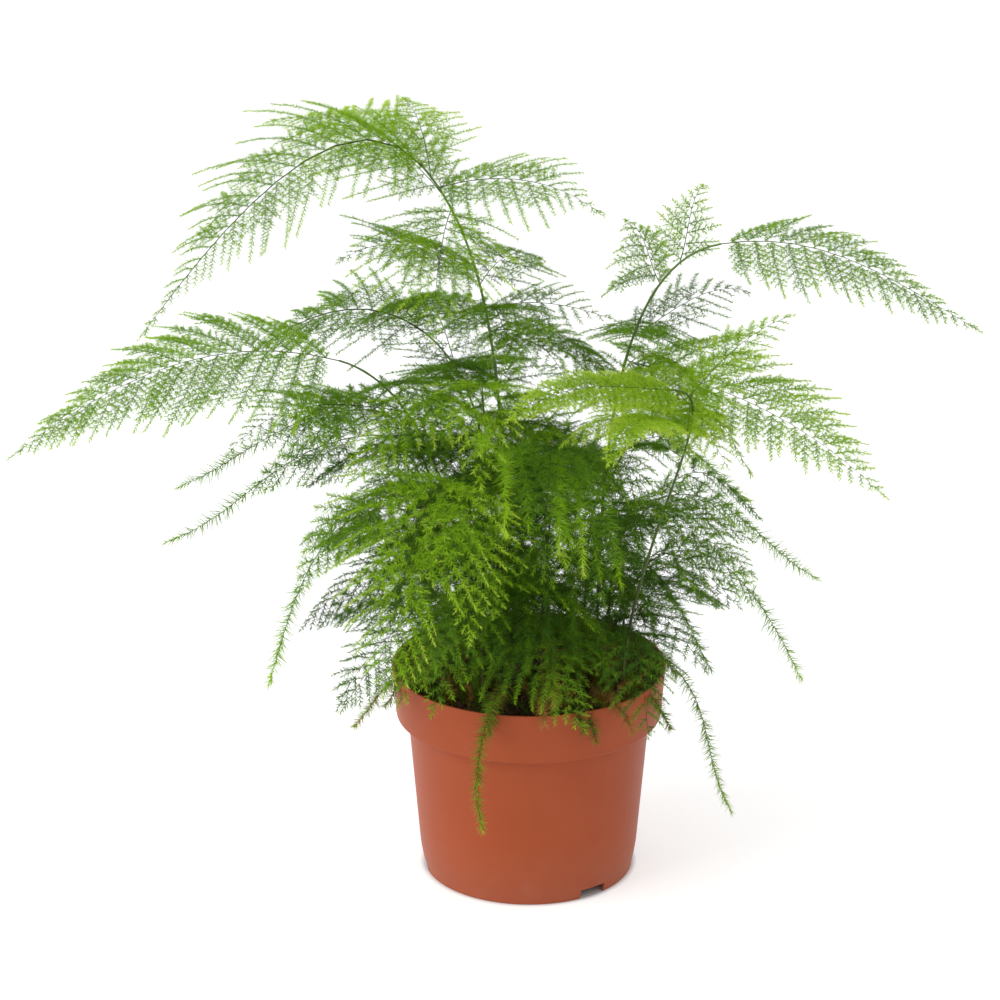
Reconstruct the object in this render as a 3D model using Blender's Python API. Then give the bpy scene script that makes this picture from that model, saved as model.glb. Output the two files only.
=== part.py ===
"""Asparagus fern (Asparagus setaceus) growing in a 12 cm plastic nursery pot.

Frame: origin on the pot's axis at the surface it stands on, +Z up, -Y the front.
Each wiry stem stands in its own hole in the root ball. Each feathery frond is one thin
closed blade, the envelope of its ribs and needles, and meets its stem end to side.
"""

import math
from dataclasses import dataclass

import bmesh
import bpy
from mathutils import Matrix, Vector

MM = 0.001
CLEARANCE = 0.3 * MM

# ---------------------------------------------------------------- pot
POT_HEIGHT = 95.0 * MM
RIM_RADIUS = 60.0 * MM
RIM_BAND_DEPTH = 22.5 * MM
RIM_BAND_LOWER_RADIUS = 58.2 * MM
WALL_TOP_RADIUS = 53.1 * MM
WALL_FOOT_RADIUS = 47.9 * MM
WALL_THICKNESS = 1.2 * MM
FOOT_SKIRT_HEIGHT = 7.0 * MM
FOOT_SKIRT_RADIUS = 46.7 * MM
FOOT_ROUNDING = 0.6 * MM
FLOOR_HEIGHT = 5.2 * MM
CENTRE_PAD_RADIUS = 20.0 * MM
CENTRE_PAD_SLOPE = 5.0 * MM
POT_SEGMENTS = 72
RIM_BAND_FLOOR = POT_HEIGHT - RIM_BAND_DEPTH
BAND_STEP_RISE = 1.4 * MM
FLOOR_TOP = FLOOR_HEIGHT + WALL_THICKNESS
FLOOR_COVE = 1.6 * MM

DRAIN_POSITIONS = 6
FIRST_DRAIN_ANGLE = math.radians(-53.0)
BLIND_DRAIN = 5
DRAIN_NOTCH_WIDTH = 13.0 * MM
DRAIN_NOTCH_HEIGHT = 4.4 * MM
DRAIN_SLOT_WIDTH = 9.0 * MM
DRAIN_SLOT_INNER_RADIUS = 31.0 * MM
DRAIN_SLOT_OUTER_RADIUS = 42.0 * MM

# ---------------------------------------------------------------- root ball
SOIL_EDGE_HEIGHT = 85.0 * MM
SOIL_CROWN = 4.0 * MM
SOIL_SEGMENTS = 48
SOIL_RINGS = 5
SOCKET_DEPTH = 12.0 * MM
SOCKET_SIDES = 10
SOCKET_MARGIN = 0.5 * MM

# ---------------------------------------------------------------- stems and fronds
STEM_POINTS = 14
STEM_TIP_TAPER = 0.6
STEM_UPRIGHT_REACH = 0.45  # how far a stem keeps its upright start, as a share of its length
STEM_ARRIVAL_REACH = 0.25  # how early it turns towards its first frond
BLADE_STATIONS = 9
BLADE_HALF_THICKNESS = 0.9 * MM
PETIOLE_HALF_WIDTH = 0.7 * MM
RIB_START_REACH = 0.4  # how far a rib keeps its first direction, as a share of its span
RIB_DROOP_REACH = 0.35  # how early it turns down towards its tip
WIDEST_AT = 0.3
TAPER_FULLNESS = 0.8  # 1 gives a straight-sided blade, less a fuller one


@dataclass
class Frond:
    """A feathery spray, by where its tip hangs (mm) and how it leaves and droops (degrees)."""

    name: str
    tip: tuple
    climb: float
    droop: float
    width: float
    leaves_at: float = 0.0  # height on its stem in mm, or 0 for the stem's very end


@dataclass
class Stem:
    """A wiry stem, from its foot in the soil to its top (mm), and the fronds it carries.

    Young shoots are bright, grown ones green and old ones deep green.
    """

    name: str
    foot: tuple
    top: tuple
    radius: float
    tone: str
    fronds: list


SHOOTS = [
    Stem("tall_left", (-10, 5), (-45, -5, 320), 1.1, "green", [
        Frond("tall_left_main", (-160, -55, 260), 50, 50, 60),
        Frond("tall_left_summit", (-55, 75, 330), 40, 5, 30, 315),
        Frond("tall_left_back", (-115, 70, 320), 40, 20, 35, 305),
        Frond("tall_left_right", (30, -30, 305), 20, 35, 45, 310),
        Frond("tall_left_front", (-40, -60, 260), 0, 75, 45, 300),
        Frond("tall_left_lower_left", (-80, -30, 285), 25, 30, 35, 275),
        Frond("tall_left_inner_right", (35, -10, 255), 20, 15, 20, 255),
        Frond("tall_left_drooping", (15, -30, 235), 25, 50, 25, 245),
    ]),
    Stem("long_left", (-25, -10), (-80, -20, 240), 1.0, "green", [
        Frond("long_left_main", (-215, -60, 210), 20, 35, 55),
        Frond("long_left_front", (-125, -75, 215), 20, 45, 30, 215),
    ]),
    Stem("arching_left", (-15, 20), (-45, 20, 240), 0.9, "green", [
        Frond("arching_left_main", (-130, 45, 215), 35, 45, 35),
        Frond("arching_left_back", (-50, 85, 235), 35, 30, 25, 225),
    ]),
    Stem("mid_left", (-35, 5), (-70, 5, 210), 0.9, "deep", [
        Frond("mid_left_main", (-150, -10, 180), 5, 20, 25),
    ]),
    Stem("low_left", (-35, 20), (-70, 30, 190), 0.8, "deep", [
        Frond("low_left_main", (-160, 30, 140), -5, 20, 25),
    ]),
    Stem("falling_left", (-30, -20), (-60, -35, 180), 0.8, "green", [
        Frond("falling_left_main", (-110, -60, 110), 5, 70, 30),
    ]),
    Stem("front_left", (-20, -30), (-30, -50, 195), 0.9, "bright", [
        Frond("front_left_main", (-60, -110, 125), 40, 75, 45),
        Frond("front_left_inner", (-25, -115, 150), 40, 70, 25, 180),
    ]),
    Stem("front_high", (-10, -15), (-20, -30, 230), 0.9, "bright", [
        Frond("front_high_main", (-20, -95, 210), 45, 50, 25),
        Frond("front_high_left", (-75, -80, 205), 40, 45, 30, 215),
    ]),
    Stem("centre", (5, -15), (10, -35, 205), 0.9, "green", [
        Frond("centre_main", (5, -105, 180), 40, 55, 25),
        Frond("centre_right", (30, -100, 160), 35, 70, 25, 190),
        Frond("centre_back", (-5, 75, 190), 40, 40, 30, 180),
    ]),
    Stem("tall_right", (30, 10), (80, 0, 285), 1.1, "green", [
        Frond("tall_right_main", (185, -45, 260), 15, 25, 50),
        Frond("tall_right_summit", (75, 20, 305), 60, 10, 25, 275),
        Frond("tall_right_left", (40, 20, 290), 55, 0, 25, 265),
        Frond("tall_right_front", (40, -50, 245), -10, 70, 25, 250),
        Frond("tall_right_outer", (145, -80, 200), 0, 30, 40, 230),
        Frond("tall_right_back", (95, 30, 255), 30, 25, 25, 240),
        Frond("tall_right_inner", (5, 30, 220), 30, 30, 20, 210),
    ]),
    Stem("front_right", (40, -20), (60, -45, 235), 1.0, "bright", [
        Frond("front_right_main", (-10, -115, 245), 15, 20, 40),
        Frond("front_right_drooping", (30, -110, 225), 15, 45, 25, 215),
        Frond("front_right_outer", (110, -20, 260), 45, -10, 25, 230),
    ]),
    Stem("mid_right", (25, 30), (45, 45, 180), 0.8, "deep", [
        Frond("mid_right_main", (100, 70, 145), 25, 35, 25),
        Frond("mid_right_back", (30, 110, 150), 30, 45, 25, 160),
    ]),
    Stem("low_right", (35, 20), (55, 30, 160), 0.8, "deep", [
        Frond("low_right_main", (130, 50, 115), 15, 30, 25),
    ]),
    Stem("falling_right", (40, 5), (55, 10, 140), 0.8, "deep", [
        Frond("falling_right_main", (120, 5, 85), 35, 65, 25),
    ]),
    Stem("back_right", (20, 40), (40, 55, 110), 0.7, "deep", [
        Frond("back_right_main", (85, 75, 60), 30, 60, 20),
    ]),
    Stem("over_rim_right", (40, -15), (55, -15, 105), 0.7, "deep", [
        Frond("over_rim_right_main", (90, -5, 25), -35, 60, 12),
    ]),
    Stem("over_rim_front", (-5, -40), (-10, -50, 105), 0.7, "green", [
        Frond("over_rim_front_main", (-20, -75, 50), 15, 90, 10),
    ]),
    Stem("over_rim_left", (-35, -30), (-45, -40, 105), 0.7, "green", [
        Frond("over_rim_left_main", (-75, -35, 80), 15, 50, 14),
    ]),
]

# ---------------------------------------------------------------- materials
TERRACOTTA = (0.430, 0.105, 0.042)
PEAT = (0.035, 0.020, 0.012)
STEM_GREEN = (0.110, 0.190, 0.035)
FROND_TONES = {
    "bright": (0.230, 0.400, 0.030),
    "green": (0.120, 0.290, 0.035),
    "deep": (0.050, 0.160, 0.035),
}


def principled(name, colour, roughness):
    material = bpy.data.materials.new(name)
    material.use_nodes = True
    material.diffuse_color = (*colour, 1.0)
    shader = material.node_tree.nodes["Principled BSDF"]
    shader.inputs["Base Color"].default_value = (*colour, 1.0)
    shader.inputs["Roughness"].default_value = roughness
    shader.inputs["Metallic"].default_value = 0.0
    return material


def add_mesh_object(name, mesh, material):
    mesh.materials.append(material)
    part = bpy.data.objects.new(name, mesh)
    bpy.context.scene.collection.objects.link(part)
    return part


# ---------------------------------------------------------------- turned shapes
def turned(name, profile, segments, material):
    """Turn a closed (radius, height) outline about Z; it runs down its outer side."""
    shape = bmesh.new()
    angles = [2.0 * math.pi * step / segments for step in range(segments)]
    rings = []
    for radius, height in profile:
        if radius == 0.0:
            rings.append([shape.verts.new((0.0, 0.0, height))])
        else:
            rings.append([shape.verts.new((radius * math.cos(a), radius * math.sin(a), height))
                          for a in angles])
    for upper, lower in zip(rings, rings[1:] + rings[:1]):
        if len(upper) == 1 and len(lower) == 1:
            continue
        for step in range(segments):
            after = (step + 1) % segments
            if len(upper) == 1:
                shape.faces.new((upper[0], lower[step], lower[after]))
            elif len(lower) == 1:
                shape.faces.new((upper[step], lower[0], upper[after]))
            else:
                shape.faces.new((upper[step], lower[step], lower[after], upper[after]))
    mesh = bpy.data.meshes.new(name)
    shape.to_mesh(mesh)
    shape.free()
    mesh.shade_smooth()
    mesh.set_sharp_from_angle(angle=math.radians(35.0))
    return add_mesh_object(name, mesh, material)


# ---------------------------------------------------------------- nursery pot
def rim_inner_radius(height):
    """Inside radius of the flared rim band at a height."""
    share = (height - RIM_BAND_FLOOR) / RIM_BAND_DEPTH
    return RIM_BAND_LOWER_RADIUS + share * (RIM_RADIUS - RIM_BAND_LOWER_RADIUS) - WALL_THICKNESS


def pot_cavity(inset):
    """Outline of the pot's inside, from under the rim band to mid floor, stepped in by inset."""
    wall_top = WALL_TOP_RADIUS - WALL_THICKNESS
    wall_foot = WALL_FOOT_RADIUS - WALL_THICKNESS
    band_shelf = RIM_BAND_FLOOR - BAND_STEP_RISE + WALL_THICKNESS + inset
    return [
        (rim_inner_radius(RIM_BAND_FLOOR) - inset, band_shelf + BAND_STEP_RISE),
        (wall_top - inset, band_shelf),
        (wall_foot - inset, FLOOR_TOP + FLOOR_COVE),
        (wall_foot - FLOOR_COVE / 2 - inset, FLOOR_TOP + inset),
        (CENTRE_PAD_RADIUS + CENTRE_PAD_SLOPE - inset, FLOOR_TOP + inset),
        (CENTRE_PAD_RADIUS - inset, WALL_THICKNESS + inset),
        (0.0, WALL_THICKNESS + inset),
    ]


def pot_outline():
    """Closed outline of the pot's wall, from the rim down its outside and back up its inside."""
    rim_inside = RIM_RADIUS - WALL_THICKNESS
    skirt_inside = FOOT_SKIRT_RADIUS - FOOT_ROUNDING - WALL_THICKNESS
    outside = [
        (RIM_RADIUS, POT_HEIGHT - FOOT_ROUNDING),
        (RIM_BAND_LOWER_RADIUS, RIM_BAND_FLOOR + FOOT_ROUNDING),
        (RIM_BAND_LOWER_RADIUS - FOOT_ROUNDING, RIM_BAND_FLOOR),
        (WALL_TOP_RADIUS, RIM_BAND_FLOOR - BAND_STEP_RISE),
        (WALL_FOOT_RADIUS, FOOT_SKIRT_HEIGHT + FOOT_ROUNDING),
        (FOOT_SKIRT_RADIUS, FOOT_SKIRT_HEIGHT - FOOT_ROUNDING),
        (FOOT_SKIRT_RADIUS - FOOT_ROUNDING / 2, FOOT_ROUNDING),
        (FOOT_SKIRT_RADIUS - FOOT_ROUNDING, 0.0),
    ]
    underside = [
        (skirt_inside, 0.0),
        (skirt_inside, FLOOR_HEIGHT),
        (CENTRE_PAD_RADIUS + CENTRE_PAD_SLOPE, FLOOR_HEIGHT),
        (CENTRE_PAD_RADIUS, 0.0),
        (0.0, 0.0),
    ]
    rim_top = [
        (rim_inside, POT_HEIGHT - FOOT_ROUNDING),
        (rim_inside + FOOT_ROUNDING / 2, POT_HEIGHT),
        (RIM_RADIUS - FOOT_ROUNDING / 2, POT_HEIGHT),
    ]
    return outside + underside + pot_cavity(0.0)[::-1] + rim_top


def add_cutter(name, size, place, turn):
    """A box that cuts a drain opening; it is hidden and is no part of the pot."""
    shape = bmesh.new()
    bmesh.ops.create_cube(shape, size=1.0, matrix=Matrix.Diagonal((*size, 1.0)))
    mesh = bpy.data.meshes.new(name)
    shape.to_mesh(mesh)
    shape.free()
    cutter = bpy.data.objects.new(name, mesh)
    cutter.location = place
    cutter.rotation_euler = (0.0, 0.0, turn)
    cutter.hide_render = True
    cutter.display_type = "WIRE"
    bpy.context.scene.collection.objects.link(cutter)
    return cutter


def cut_with(part, cutters, name):
    """Cut a whole collection of cutters out of a part."""
    group = bpy.data.collections.new(name)
    bpy.context.scene.collection.children.link(group)
    for cutter in cutters:
        bpy.context.scene.collection.objects.unlink(cutter)
        group.objects.link(cutter)
    cut = part.modifiers.new(name, "BOOLEAN")
    cut.operation = "DIFFERENCE"
    cut.operand_type = "COLLECTION"
    cut.collection = group
    cut.solver = "EXACT"


def drain_cutters():
    """A notch through the foot skirt and a slot through the floor at each open position."""
    notch_reach = 8.0 * MM
    slot_reach = DRAIN_SLOT_OUTER_RADIUS - DRAIN_SLOT_INNER_RADIUS
    slot_middle = (DRAIN_SLOT_OUTER_RADIUS + DRAIN_SLOT_INNER_RADIUS) / 2
    cutters = []
    for position in range(DRAIN_POSITIONS):
        if position == BLIND_DRAIN:
            continue
        turn = FIRST_DRAIN_ANGLE + 2.0 * math.pi * position / DRAIN_POSITIONS
        outward = Vector((math.cos(turn), math.sin(turn), 0.0))
        cutters.append(add_cutter(
            f"drain_notch_cutter_{position}",
            (notch_reach, DRAIN_NOTCH_WIDTH, 2.0 * DRAIN_NOTCH_HEIGHT),
            outward * FOOT_SKIRT_RADIUS, turn))
        cutters.append(add_cutter(
            f"drain_slot_cutter_{position}",
            (slot_reach, DRAIN_SLOT_WIDTH, 4.0 * WALL_THICKNESS),
            outward * slot_middle + Vector((0.0, 0.0, FLOOR_HEIGHT + WALL_THICKNESS / 2)), turn))
    return cutters


def add_pot():
    terracotta = principled("terracotta_plastic", TERRACOTTA, 0.5)
    pot = turned("nursery_pot", pot_outline(), POT_SEGMENTS, terracotta)
    cut_with(pot, drain_cutters(), "drain_openings")
    return pot


# ---------------------------------------------------------------- root ball
SOIL_INSET = 0.4 * MM
SOIL_RADIUS = rim_inner_radius(SOIL_EDGE_HEIGHT) - SOIL_INSET


def soil_height(x, y):
    """Height of the domed soil surface."""
    return SOIL_EDGE_HEIGHT + SOIL_CROWN * (1.0 - (x * x + y * y) / SOIL_RADIUS ** 2)


def socket_cutter(stem):
    """The hole that a stem's foot fills, a hair wider than the stem."""
    x, y = stem.foot[0] * MM, stem.foot[1] * MM
    radius = stem.radius * MM + SOCKET_MARGIN
    shape = bmesh.new()
    bmesh.ops.create_cone(shape, cap_ends=True, segments=SOCKET_SIDES,
                          depth=2.0 * SOCKET_DEPTH, radius1=radius, radius2=radius)
    mesh = bpy.data.meshes.new(f"socket_cutter_{stem.name}")
    shape.to_mesh(mesh)
    shape.free()
    cutter = bpy.data.objects.new(mesh.name, mesh)
    cutter.location = (x, y, soil_height(x, y))
    cutter.hide_render = True
    cutter.display_type = "WIRE"
    bpy.context.scene.collection.objects.link(cutter)
    return cutter


def add_root_ball():
    surface = []
    for ring in range(SOIL_RINGS + 1):
        radius = SOIL_RADIUS * ring / SOIL_RINGS
        surface.append((radius, soil_height(radius, 0.0)))
    peat = principled("peat", PEAT, 0.95)
    root_ball = turned("root_ball", surface + pot_cavity(SOIL_INSET), SOIL_SEGMENTS, peat)
    cut_with(root_ball, [socket_cutter(stem) for stem in SHOOTS], "stem_sockets")
    return root_ball


# ---------------------------------------------------------------- paths
UP = Vector((0.0, 0.0, 1.0))


def bezier(start, leaving, arriving, end, share):
    """A point on a cubic Bezier curve, share 0 to 1 along it."""
    rest = 1.0 - share
    return (rest ** 3 * start + 3.0 * rest ** 2 * share * leaving
            + 3.0 * rest * share ** 2 * arriving + share ** 3 * end)


def direction(heading, angle):
    """A unit vector that rises by an angle in degrees above a level heading."""
    slope = math.radians(angle)
    return heading * math.cos(slope) + UP * math.sin(slope)


def level_heading(start, end):
    """The level unit vector from one point towards another."""
    across = end - start
    return Vector((across.x, across.y, 0.0)).normalized()


def stem_path(stem):
    """Points up a stem: straight out of its socket, then bending over to meet its first frond."""
    x, y = stem.foot[0] * MM, stem.foot[1] * MM
    surface = soil_height(x, y)
    ground = Vector((x, y, surface))
    top = Vector(stem.top) * MM
    crown = stem.fronds[0]
    arrival = direction(level_heading(top, Vector(crown.tip) * MM), crown.climb)
    rise = (top - ground).length
    leaving = ground + UP * rise * STEM_UPRIGHT_REACH
    arriving = top - arrival * rise * STEM_ARRIVAL_REACH
    socket_floor = Vector((x, y, surface - SOCKET_DEPTH + CLEARANCE))
    climb = [bezier(ground, leaving, arriving, top, step / (STEM_POINTS - 1))
             for step in range(STEM_POINTS)]
    return [socket_floor] + climb


def frond_path(frond, start):
    """Points along a frond's rib, out from its start and over to its drooping tip."""
    tip = Vector(frond.tip) * MM
    heading = level_heading(start, tip)
    reach = (tip - start).length
    leaving = start + direction(heading, frond.climb) * reach * RIB_START_REACH
    arriving = tip - direction(heading, -frond.droop) * reach * RIB_DROOP_REACH
    return [bezier(start, leaving, arriving, tip, step / (BLADE_STATIONS - 1))
            for step in range(BLADE_STATIONS)]


def place_on_stem(path, stem, height):
    """Where a stem reaches a height: the point, its direction there and its radius."""
    for index, (lower, upper) in enumerate(zip(path, path[1:])):
        if lower.z <= height <= upper.z:
            share = (height - lower.z) / (upper.z - lower.z)
            point = lower.lerp(upper, share)
            along = (index + share) / (len(path) - 1)
            return point, (upper - lower).normalized(), stem_radius(stem, along)
    raise ValueError(f"{stem.name} never reaches {height / MM:.0f} mm")


def stem_radius(stem, along):
    """A stem's radius, along 0 at its foot to 1 at its top."""
    return stem.radius * MM * (1.0 - (1.0 - STEM_TIP_TAPER) * along)


def frond_start(frond, stem, path):
    """Where a frond's rib begins, a clearance off the end or the side of its stem."""
    tip = Vector(frond.tip) * MM
    if not frond.leaves_at:
        top = path[-1]
        outward = direction(level_heading(top, tip), frond.climb)
        return top + outward * CLEARANCE
    point, stem_direction, radius = place_on_stem(path, stem, frond.leaves_at * MM)
    outward = direction(level_heading(point, tip), frond.climb)
    across = outward.cross(stem_direction).length
    along = abs(outward.dot(stem_direction))
    reach = radius + CLEARANCE + PETIOLE_HALF_WIDTH * along
    return point + outward * reach / across


# ---------------------------------------------------------------- stems and fronds
def add_stem(stem, path, material):
    """A tapering tube along a stem's path."""
    curve = bpy.data.curves.new(f"stem_{stem.name}", "CURVE")
    curve.dimensions = "3D"
    curve.bevel_depth = stem.radius * MM
    curve.bevel_resolution = 1
    curve.use_fill_caps = True
    line = curve.splines.new("POLY")
    line.points.add(len(path) - 1)
    for index, place in enumerate(path):
        line.points[index].co = (*place, 1.0)
        line.points[index].radius = stem_radius(stem, index / (len(path) - 1)) / curve.bevel_depth
    curve.materials.append(material)
    tube = bpy.data.objects.new(curve.name, curve)
    bpy.context.scene.collection.objects.link(tube)
    return tube


def blade_half_width(frond, share):
    """Half the blade's width: a thin stalk, a quick spread and a long taper to the tip."""
    spread = share / WIDEST_AT if share < WIDEST_AT else (1.0 - share) / (1.0 - WIDEST_AT)
    return max(PETIOLE_HALF_WIDTH, frond.width * MM / 2 * spread ** TAPER_FULLNESS)


def add_frond(frond, path, material):
    """A thin closed blade with a diamond section that follows the rib."""
    heading = level_heading(path[0], path[-1])
    side = heading.cross(UP)
    last = len(path) - 1
    shape = bmesh.new()
    rings = []
    for index, centre in enumerate(path):
        share = index / last
        ahead = path[min(index + 1, last)] - path[max(index - 1, 0)]
        up = side.cross(ahead).normalized()
        half_width = blade_half_width(frond, share)
        half_thickness = min(BLADE_HALF_THICKNESS, half_width)
        rings.append([shape.verts.new(centre + offset) for offset in (
            side * half_width, up * half_thickness, -side * half_width, -up * half_thickness)])
    for near, far in zip(rings, rings[1:]):
        for corner in range(4):
            after = (corner + 1) % 4
            shape.faces.new((near[corner], far[corner], far[after], near[after]))
    shape.faces.new(rings[0])
    shape.faces.new(rings[-1][::-1])
    mesh = bpy.data.meshes.new(f"frond_{frond.name}")
    shape.to_mesh(mesh)
    shape.free()
    return add_mesh_object(mesh.name, mesh, material)


def add_shoots():
    stem_green = principled("stem_green", STEM_GREEN, 0.6)
    greens = {tone: principled(f"frond_{tone}", colour, 0.7)
              for tone, colour in FROND_TONES.items()}
    for stem in SHOOTS:
        path = stem_path(stem)
        add_stem(stem, path, stem_green)
        for frond in stem.fronds:
            rib = frond_path(frond, frond_start(frond, stem, path))
            add_frond(frond, rib, greens[stem.tone])


def main():
    for leftover in list(bpy.data.objects):
        bpy.data.objects.remove(leftover, do_unlink=True)
    add_pot()
    add_root_ball()
    add_shoots()


main()
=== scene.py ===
"""Looks of the potted asparagus fern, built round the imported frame.

The pot is made again with rounded edges and a moulded-plastic finish, and stands for the CAD
pot. The potting mix, the stems and the fronds are grown here as meshes: a frond is a rib with
side branches in one plane, each branch carries short twigs near its foot, and every twig
carries whorls of fine needles.
"""

import math
from dataclasses import dataclass, replace

import bmesh
import bpy
import numpy as np
from mathutils import Matrix, Vector, noise


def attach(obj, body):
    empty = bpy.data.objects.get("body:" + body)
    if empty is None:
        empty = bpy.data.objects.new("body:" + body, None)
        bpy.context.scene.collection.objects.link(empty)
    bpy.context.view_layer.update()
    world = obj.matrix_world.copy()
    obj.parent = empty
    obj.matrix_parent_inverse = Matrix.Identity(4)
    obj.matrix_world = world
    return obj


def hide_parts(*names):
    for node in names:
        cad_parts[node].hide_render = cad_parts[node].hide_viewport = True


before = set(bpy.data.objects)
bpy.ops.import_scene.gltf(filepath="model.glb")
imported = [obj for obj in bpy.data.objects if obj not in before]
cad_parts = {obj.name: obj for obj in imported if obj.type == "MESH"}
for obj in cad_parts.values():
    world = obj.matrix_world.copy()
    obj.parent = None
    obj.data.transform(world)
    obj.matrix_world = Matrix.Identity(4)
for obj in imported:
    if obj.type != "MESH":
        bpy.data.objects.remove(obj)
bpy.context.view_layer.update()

MM = 0.001
UP = np.array((0.0, 0.0, 1.0))
GOLDEN_ANGLE = math.radians(137.5)


# ------------------------------ the plant's plan
@dataclass
class Frond:
    """A feathery spray, by where its tip hangs (mm) and how it leaves and droops (degrees)."""

    name: str  # its stem puts its own name before it
    tip: tuple
    climb: float
    droop: float
    width: float
    leaves_at: float = 0.0  # height on its stem in mm, or 0 for the stem's very end


@dataclass
class Stem:
    """A wiry stem, from its foot in the soil to its top (mm), and the fronds it carries."""

    name: str
    foot: tuple
    top: tuple
    radius: float
    tone: str
    fronds: list

    def __post_init__(self):
        for frond in self.fronds:
            frond.name = f"{self.name}_{frond.name}"


SHOOTS = [
    Stem("tall_left", (-10, 5), (-45, -5, 320), 1.1, "green", [
        Frond("main", (-160, -55, 260), 50, 50, 60),
        Frond("summit", (-55, 75, 330), 40, 5, 30, 315),
        Frond("back", (-115, 70, 320), 40, 20, 35, 305),
        Frond("right", (30, -30, 305), 20, 35, 45, 310),
        Frond("front", (-40, -60, 260), 0, 75, 45, 300),
        Frond("lower_left", (-80, -30, 285), 25, 30, 35, 275),
        Frond("inner_right", (35, -10, 255), 20, 15, 20, 255),
        Frond("drooping", (15, -30, 235), 25, 50, 25, 245),
    ]),
    Stem("long_left", (-25, -10), (-80, -20, 240), 1.0, "green", [
        Frond("main", (-215, -60, 210), 20, 35, 55),
        Frond("front", (-125, -75, 215), 20, 45, 30, 215),
    ]),
    Stem("arching_left", (-15, 20), (-45, 20, 240), 0.9, "green", [
        Frond("main", (-130, 45, 215), 35, 45, 35),
        Frond("back", (-50, 85, 235), 35, 30, 25, 225),
    ]),
    Stem("mid_left", (-35, 5), (-70, 5, 210), 0.9, "deep", [
        Frond("main", (-150, -10, 180), 5, 20, 25),
    ]),
    Stem("low_left", (-35, 20), (-70, 30, 190), 0.8, "deep", [
        Frond("main", (-160, 30, 140), -5, 20, 25),
    ]),
    Stem("falling_left", (-30, -20), (-60, -35, 180), 0.8, "green", [
        Frond("main", (-110, -60, 110), 5, 70, 30),
    ]),
    Stem("front_left", (-20, -30), (-30, -50, 195), 0.9, "bright", [
        Frond("main", (-60, -110, 125), 40, 75, 45),
        Frond("inner", (-25, -115, 150), 40, 70, 25, 180),
    ]),
    Stem("front_high", (-10, -15), (-20, -30, 230), 0.9, "bright", [
        Frond("main", (-20, -95, 210), 45, 50, 25),
        Frond("left", (-75, -80, 205), 40, 45, 30, 215),
    ]),
    Stem("centre", (5, -15), (10, -35, 205), 0.9, "green", [
        Frond("main", (5, -105, 180), 40, 55, 25),
        Frond("right", (30, -100, 160), 35, 70, 25, 190),
        Frond("back", (-5, 75, 190), 40, 40, 30, 180),
    ]),
    Stem("tall_right", (30, 10), (80, 0, 285), 1.1, "green", [
        Frond("main", (185, -45, 260), 15, 25, 50),
        Frond("summit", (75, 20, 305), 60, 10, 25, 275),
        Frond("left", (40, 20, 290), 55, 0, 25, 265),
        Frond("front", (40, -50, 245), -10, 70, 25, 250),
        Frond("outer", (145, -80, 200), 0, 30, 40, 230),
        Frond("back", (95, 30, 255), 30, 25, 25, 240),
        Frond("inner", (5, 30, 220), 30, 30, 20, 210),
    ]),
    Stem("front_right", (40, -20), (60, -45, 235), 1.0, "bright", [
        Frond("main", (-10, -115, 245), 15, 20, 40),
        Frond("drooping", (30, -110, 225), 15, 45, 25, 215),
        Frond("outer", (110, -20, 260), 45, -10, 25, 230),
    ]),
    Stem("mid_right", (25, 30), (45, 45, 180), 0.8, "deep", [
        Frond("main", (100, 70, 145), 25, 35, 25),
        Frond("back", (30, 110, 150), 30, 45, 25, 160),
    ]),
    Stem("low_right", (35, 20), (55, 30, 160), 0.8, "deep", [
        Frond("main", (130, 50, 115), 15, 30, 25),
    ]),
    Stem("falling_right", (40, 5), (55, 10, 140), 0.8, "deep", [
        Frond("main", (120, 5, 85), 35, 65, 25),
    ]),
    Stem("back_right", (20, 40), (40, 55, 110), 0.7, "deep", [
        Frond("main", (85, 75, 60), 30, 60, 20),
    ]),
    Stem("over_rim_right", (40, -15), (55, -15, 105), 0.7, "deep", [
        Frond("main", (90, -5, 25), -35, 60, 12),
    ]),
    Stem("over_rim_front", (-5, -40), (-10, -50, 105), 0.7, "green", [
        Frond("main", (-20, -75, 50), 15, 90, 10),
    ]),
    Stem("over_rim_left", (-35, -30), (-45, -40, 105), 0.7, "green", [
        Frond("main", (-75, -35, 80), 15, 50, 14),
    ]),
]

STEM_TIP_TAPER = 0.6
STEM_UPRIGHT_REACH = 0.45
STEM_ARRIVAL_REACH = 0.25
RIB_START_REACH = 0.4
RIB_DROOP_REACH = 0.35
SOIL_EDGE_HEIGHT = 85.0 * MM
SOIL_CROWN = 4.0 * MM
SOIL_RADIUS = 57.6 * MM
TONE_LEVEL = {"deep": 0.18, "green": 0.42, "bright": 0.66}

# ------------------------------ growth habit
TWIG_SHARE = 0.34  # a twig's length over what is left of its branch
TWIG_NEEDLE_SIZE = 0.9  # its needles over its branch's
TWIG_FORWARD, TWIG_SIDEWAYS = 0.74, 0.67  # how a twig leaves its branch
BARE_FOOT = 0.04  # the share of a rib before its first branch
RIB_TIP = 0.94  # the share of a rib, at the latest, where its own needles start
SPRAY_FOOT_WIDTH = 0.5  # a spray's width where its branches start, over its greatest
SPRAY_WIDENING = 6.0  # how fast it widens from there
BRANCH_LEAN = 74.0  # degrees from the rib to a branch at its foot
LEAN_LOST = 24.0  # and how much less that is at its tip
BRANCH_OUTWARD, BRANCH_FORWARD = 0.93, 0.14  # a branch's tip from its foot, over its length
BRANCH_BARE_FOOT = 0.4 * MM
LONGEST_BRANCH = 56.0 * MM
SHORTEST_BRANCH = 3.0 * MM
BRANCH_RADIUS = 0.15 * MM
TWIG_RADIUS = 0.09 * MM
RIB_RADIUS = 0.27 * MM
STOUT_RIB_RADIUS = 0.46 * MM
SIDE_RIB_RADIUS = 0.24 * MM


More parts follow.
